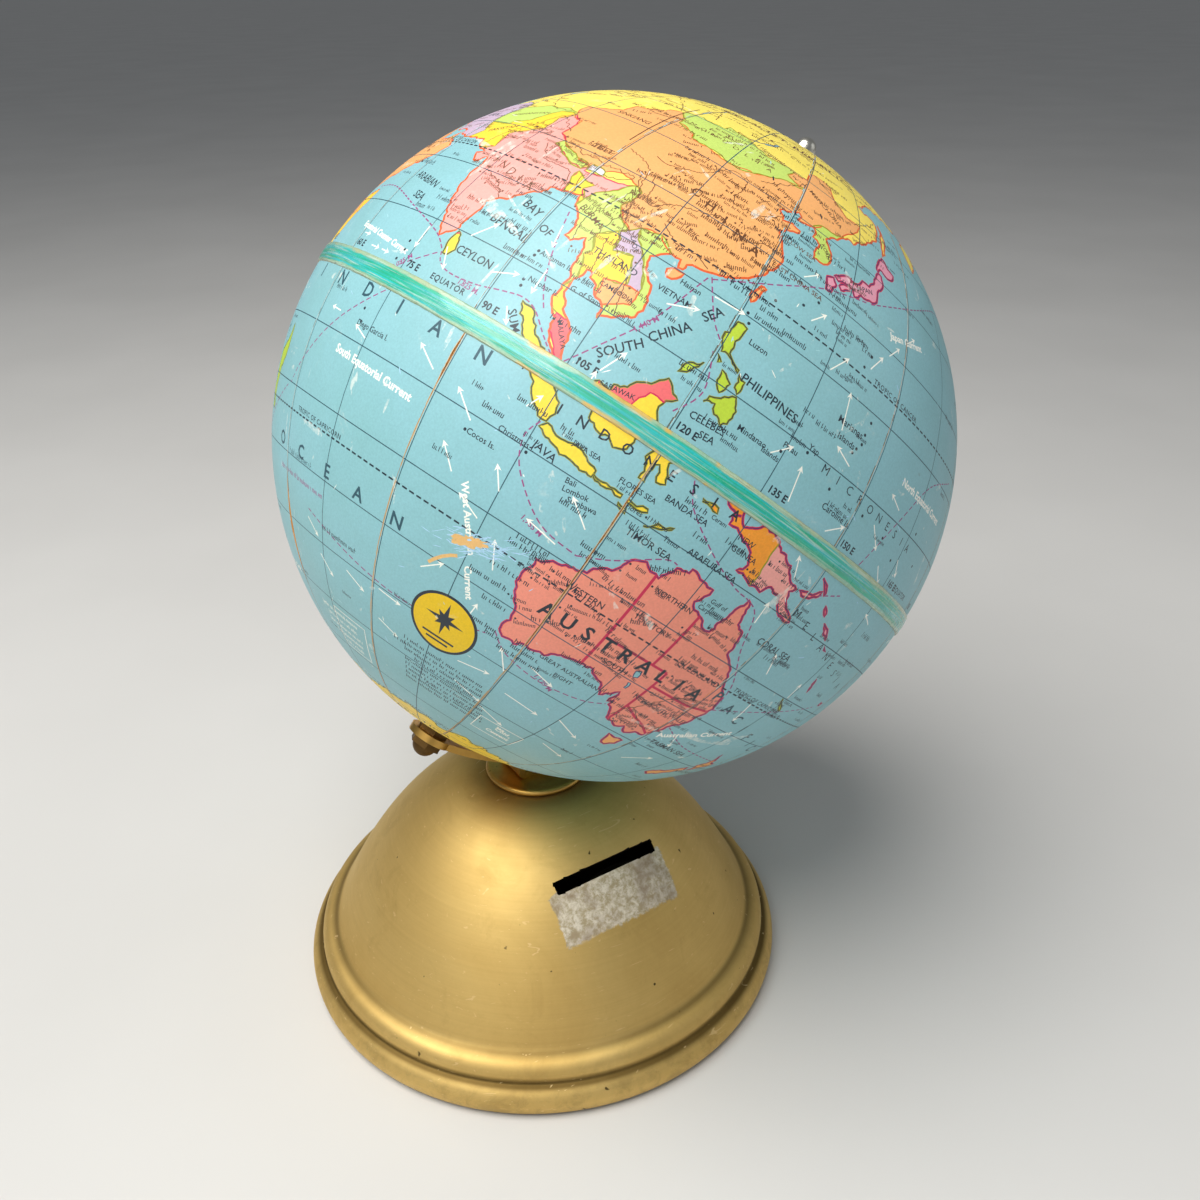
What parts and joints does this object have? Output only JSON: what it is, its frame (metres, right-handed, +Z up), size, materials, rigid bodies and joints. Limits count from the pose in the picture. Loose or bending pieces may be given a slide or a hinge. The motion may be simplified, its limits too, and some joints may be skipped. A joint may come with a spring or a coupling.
{
  "type": "desktop globe",
  "caption": "Old printed globe on a tilted axle, carried by a bent bracket on a spun metal bell base with a coin slot and a pull-out plug underneath.",
  "frame": {"origin": "centre of the bell's foot, on the surface it stands on", "axes": "+Z up, -Y towards the coin slot, +X the way the north pole leans"},
  "size_m": [0.1894, 0.1788, 0.246],
  "materials": {
    "gold_metal": "gold-lacquered spun steel, satin, scuffed",
    "brass_hardware": "aged and darkened",
    "plated_steel": "dull zinc plate",
    "pale_cap": "bright nickel, worn pale",
    "card": "pressed grey-brown card",
    "map_paper": "varnished colour print, yellowed and worn",
    "band_tape": "glossy varnished paper tape",
    "black_rubber": "matt"
  },
  "bodies": {
    "base": {"base_dome": "gold_metal", "collar_disc": "gold_metal", "bottom_plate": "plated_steel", "dome_washer": "plated_steel", "arm_bolt": "gold_metal", "bolt_lock_washer": "plated_steel", "bolt_nut": "plated_steel", "support_arm": "gold_metal", "axle_rod": "plated_steel", "axle_lock_nut": "brass_hardware", "axle_acorn_nut": "brass_hardware", "north_washer": "plated_steel", "north_cap_nut": "pale_cap"},
    "globe": {"north_shell": "card", "south_shell": "card", "joint_ring": "card", "equator_band": "band_tape", "north_gores": "map_paper", "south_gores": "map_paper", "north_polar_paper": "map_paper", "south_polar_paper": "map_paper", "north_eyelet": "brass_hardware", "south_eyelet": "brass_hardware", "eyelet_washers": "plated_steel"},
    "plug": {"coin_plug": "black_rubber"}
  },
  "joints": [
    {"name": "globe_spin", "type": "hinge", "parent": "base", "child": "globe", "pos_m": [0.028, 0, 0.1571], "axis": [0.6587, 0, 0.7524], "continuous": true},
    {"name": "plug_pull", "type": "slide", "parent": "base", "child": "plug", "axis": [0, 0, -1], "range_m": [0, 0.012]}
  ]
}
